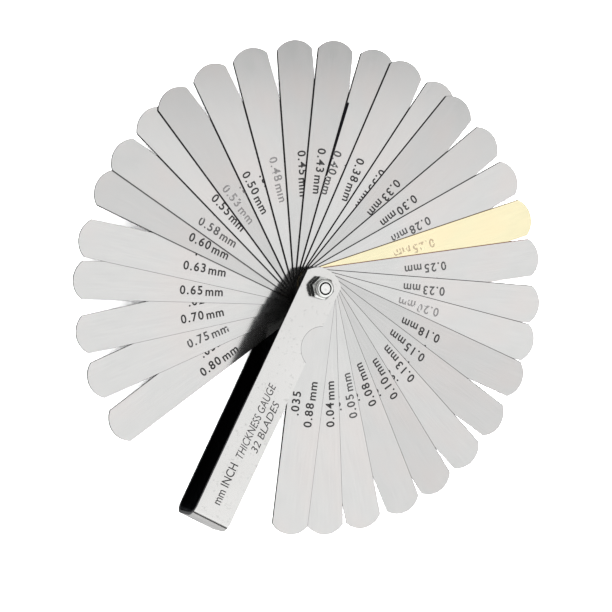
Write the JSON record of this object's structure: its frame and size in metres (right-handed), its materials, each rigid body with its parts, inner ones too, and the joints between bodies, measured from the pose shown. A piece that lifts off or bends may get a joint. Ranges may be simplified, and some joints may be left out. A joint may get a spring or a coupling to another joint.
{
  "type": "feeler gauge",
  "caption": "Feeler gauge: thin steel blades and a brass blade fanned on a pivot screw with a lock nut, folding into a U-shaped steel case.",
  "frame": {"origin": "on the pivot axis, at the outer face of the screw head, in the middle of the driver slot", "axes": "+Z along the pivot axis from the screw head to the nut; the case points along -Y; the thumb notch is on the case's +X edge"},
  "size_m": [0.1648, 0.1691, 0.0231],
  "materials": {
    "case_steel": "satin nickel plate",
    "screw_steel": "bright zinc plate",
    "nut_steel": "bright zinc plate",
    "nut_nylon": "black nylon",
    "blade_steel": "fine ground, bright",
    "mark_black": "black etched marks",
    "blade_brass": "fine ground, bright"
  },
  "bodies": {
    "case": {"case": "case_steel", "pivot_screw": "screw_steel", "lock_nut": "nut_steel", "nut_insert": "nut_nylon"},
    "blade_0_88mm": {"blade_0_88mm": "blade_steel"},
    "blade_0_04mm": {"blade_0_04mm": "blade_steel"},
    "blade_0_05mm": {"blade_0_05mm": "blade_steel"},
    "blade_0_06mm": {"blade_0_06mm": "blade_steel"},
    "blade_0_08mm": {"blade_0_08mm": "blade_steel"},
    "blade_0_10mm": {"blade_0_10mm": "blade_steel"},
    "blade_0_13mm": {"blade_0_13mm": "blade_steel"},
    "blade_0_15mm": {"blade_0_15mm": "blade_steel"},
    "blade_0_18mm": {"blade_0_18mm": "blade_steel"},
    "blade_0_20mm": {"blade_0_20mm": "blade_steel"},
    "blade_0_23mm": {"blade_0_23mm": "blade_steel"},
    "blade_0_25mm": {"blade_0_25mm": "blade_steel"},
    "blade_0_25mm_brass": {"blade_0_25mm_brass": "blade_brass"},
    "blade_0_28mm": {"blade_0_28mm": "blade_steel"},
    "blade_0_30mm": {"blade_0_30mm": "blade_steel"},
    "blade_0_33mm": {"blade_0_33mm": "blade_steel"},
    "blade_0_35mm": {"blade_0_35mm": "blade_steel"},
    "blade_0_38mm": {"blade_0_38mm": "blade_steel"},
    "blade_0_40mm": {"blade_0_40mm": "blade_steel"},
    "blade_0_43mm": {"blade_0_43mm": "blade_steel"},
    "blade_0_45mm": {"blade_0_45mm": "blade_steel"},
    "blade_0_48mm": {"blade_0_48mm": "blade_steel"},
    "blade_0_50mm": {"blade_0_50mm": "blade_steel"},
    "blade_0_53mm": {"blade_0_53mm": "blade_steel"},
    "blade_0_55mm": {"blade_0_55mm": "blade_steel"},
    "blade_0_58mm": {"blade_0_58mm": "blade_steel"},
    "blade_0_60mm": {"blade_0_60mm": "blade_steel"},
    "blade_0_63mm": {"blade_0_63mm": "blade_steel"},
    "blade_0_65mm": {"blade_0_65mm": "blade_steel"},
    "blade_0_70mm": {"blade_0_70mm": "blade_steel"},
    "blade_0_75mm": {"blade_0_75mm": "blade_steel"},
    "blade_0_80mm": {"blade_0_80mm": "blade_steel"}
  },
  "joints": [
    {"name": "swing_0_88mm", "type": "hinge", "parent": "case", "child": "blade_0_88mm", "pos_m": [0, 0, 0.01685], "axis": [0, 0, 1], "range_deg": [-19.5, 340.5]},
    {"name": "swing_0_04mm", "type": "hinge", "parent": "case", "child": "blade_0_04mm", "pos_m": [0, 0, 0.01634], "axis": [0, 0, 1], "range_deg": [-29, 331]},
    {"name": "swing_0_05mm", "type": "hinge", "parent": "case", "child": "blade_0_05mm", "pos_m": [0, 0, 0.01624], "axis": [0, 0, 1], "range_deg": [-39, 321]},
    {"name": "swing_0_06mm", "type": "hinge", "parent": "case", "child": "blade_0_06mm", "pos_m": [0, 0, 0.01614], "axis": [0, 0, 1], "range_deg": [-39, 321]},
    {"name": "swing_0_08mm", "type": "hinge", "parent": "case", "child": "blade_0_08mm", "pos_m": [0, 0, 0.01602], "axis": [0, 0, 1], "range_deg": [-50, 310]},
    {"name": "swing_0_10mm", "type": "hinge", "parent": "case", "child": "blade_0_10mm", "pos_m": [0, 0, 0.01588], "axis": [0, 0, 1], "range_deg": [-60, 300]},
    {"name": "swing_0_13mm", "type": "hinge", "parent": "case", "child": "blade_0_13mm", "pos_m": [0, 0, 0.01571], "axis": [0, 0, 1], "range_deg": [-70.5, 289.5]},
    {"name": "swing_0_15mm", "type": "hinge", "parent": "case", "child": "blade_0_15mm", "pos_m": [0, 0, 0.01553], "axis": [0, 0, 1], "range_deg": [-81.5, 278.5]},
    {"name": "swing_0_18mm", "type": "hinge", "parent": "case", "child": "blade_0_18mm", "pos_m": [0, 0, 0.01531], "axis": [0, 0, 1], "range_deg": [-93, 267]},
    {"name": "swing_0_20mm", "type": "hinge", "parent": "case", "child": "blade_0_20mm", "pos_m": [0, 0, 0.01507], "axis": [0, 0, 1], "range_deg": [-102.5, 257.5]},
    {"name": "swing_0_23mm", "type": "hinge", "parent": "case", "child": "blade_0_23mm", "pos_m": [0, 0, 0.01481], "axis": [0, 0, 1], "range_deg": [-112, 248]},
    {"name": "swing_0_25mm", "type": "hinge", "parent": "case", "child": "blade_0_25mm", "pos_m": [0, 0, 0.01452], "axis": [0, 0, 1], "range_deg": [-123.5, 236.5]},
    {"name": "swing_0_25mm_brass", "type": "hinge", "parent": "case", "child": "blade_0_25mm_brass", "pos_m": [0, 0, 0.01422], "axis": [0, 0, 1], "range_deg": [-133.5, 226.5]},
    {"name": "swing_0_28mm", "type": "hinge", "parent": "case", "child": "blade_0_28mm", "pos_m": [0, 0, 0.0139], "axis": [0, 0, 1], "range_deg": [-144, 216]},
    {"name": "swing_0_30mm", "type": "hinge", "parent": "case", "child": "blade_0_30mm", "pos_m": [0, 0, 0.01356], "axis": [0, 0, 1], "range_deg": [-154.5, 205.5]},
    {"name": "swing_0_33mm", "type": "hinge", "parent": "case", "child": "blade_0_33mm", "pos_m": [0, 0, 0.0132], "axis": [0, 0, 1], "range_deg": [-165.5, 194.5]},
    {"name": "swing_0_35mm", "type": "hinge", "parent": "case", "child": "blade_0_35mm", "pos_m": [0, 0, 0.01281], "axis": [0, 0, 1], "range_deg": [-171.5, 188.5]},
    {"name": "swing_0_38mm", "type": "hinge", "parent": "case", "child": "blade_0_38mm", "pos_m": [0, 0, 0.01239], "axis": [0, 0, 1], "range_deg": [-182, 178]},
    {"name": "swing_0_40mm", "type": "hinge", "parent": "case", "child": "blade_0_40mm", "pos_m": [0, 0, 0.01195], "axis": [0, 0, 1], "range_deg": [-190, 170]},
    {"name": "swing_0_43mm", "type": "hinge", "parent": "case", "child": "blade_0_43mm", "pos_m": [0, 0, 0.01149], "axis": [0, 0, 1], "range_deg": [-201, 159]},
    {"name": "swing_0_45mm", "type": "hinge", "parent": "case", "child": "blade_0_45mm", "pos_m": [0, 0, 0.01099], "axis": [0, 0, 1], "range_deg": [-211.5, 148.5]},
    {"name": "swing_0_48mm", "type": "hinge", "parent": "case", "child": "blade_0_48mm", "pos_m": [0, 0, 0.01048], "axis": [0, 0, 1], "range_deg": [-223, 137]},
    {"name": "swing_0_50mm", "type": "hinge", "parent": "case", "child": "blade_0_50mm", "pos_m": [0, 0, 0.00994], "axis": [0, 0, 1], "range_deg": [-234, 126]},
    {"name": "swing_0_53mm", "type": "hinge", "parent": "case", "child": "blade_0_53mm", "pos_m": [0, 0, 0.00937], "axis": [0, 0, 1], "range_deg": [-245, 115]},
    {"name": "swing_0_55mm", "type": "hinge", "parent": "case", "child": "blade_0_55mm", "pos_m": [0, 0, 0.00878], "axis": [0, 0, 1], "range_deg": [-252.5, 107.5]},
    {"name": "swing_0_58mm", "type": "hinge", "parent": "case", "child": "blade_0_58mm", "pos_m": [0, 0, 0.00817], "axis": [0, 0, 1], "range_deg": [-263, 97]},
    {"name": "swing_0_60mm", "type": "hinge", "parent": "case", "child": "blade_0_60mm", "pos_m": [0, 0, 0.00753], "axis": [0, 0, 1], "range_deg": [-272, 88]},
    {"name": "swing_0_63mm", "type": "hinge", "parent": "case", "child": "blade_0_63mm", "pos_m": [0, 0, 0.00686], "axis": [0, 0, 1], "range_deg": [-284.5, 75.5]},
    {"name": "swing_0_65mm", "type": "hinge", "parent": "case", "child": "blade_0_65mm", "pos_m": [0, 0, 0.00617], "axis": [0, 0, 1], "range_deg": [-294.5, 65.5]},
    {"name": "swing_0_70mm", "type": "hinge", "parent": "case", "child": "blade_0_70mm", "pos_m": [0, 0, 0.00545], "axis": [0, 0, 1], "range_deg": [-307.5, 52.5]},
    {"name": "swing_0_75mm", "type": "hinge", "parent": "case", "child": "blade_0_75mm", "pos_m": [0, 0, 0.00468], "axis": [0, 0, 1], "range_deg": [-319, 41]},
    {"name": "swing_0_80mm", "type": "hinge", "parent": "case", "child": "blade_0_80mm", "pos_m": [0, 0, 0.00385], "axis": [0, 0, 1], "range_deg": [-331.5, 28.5]}
  ]
}
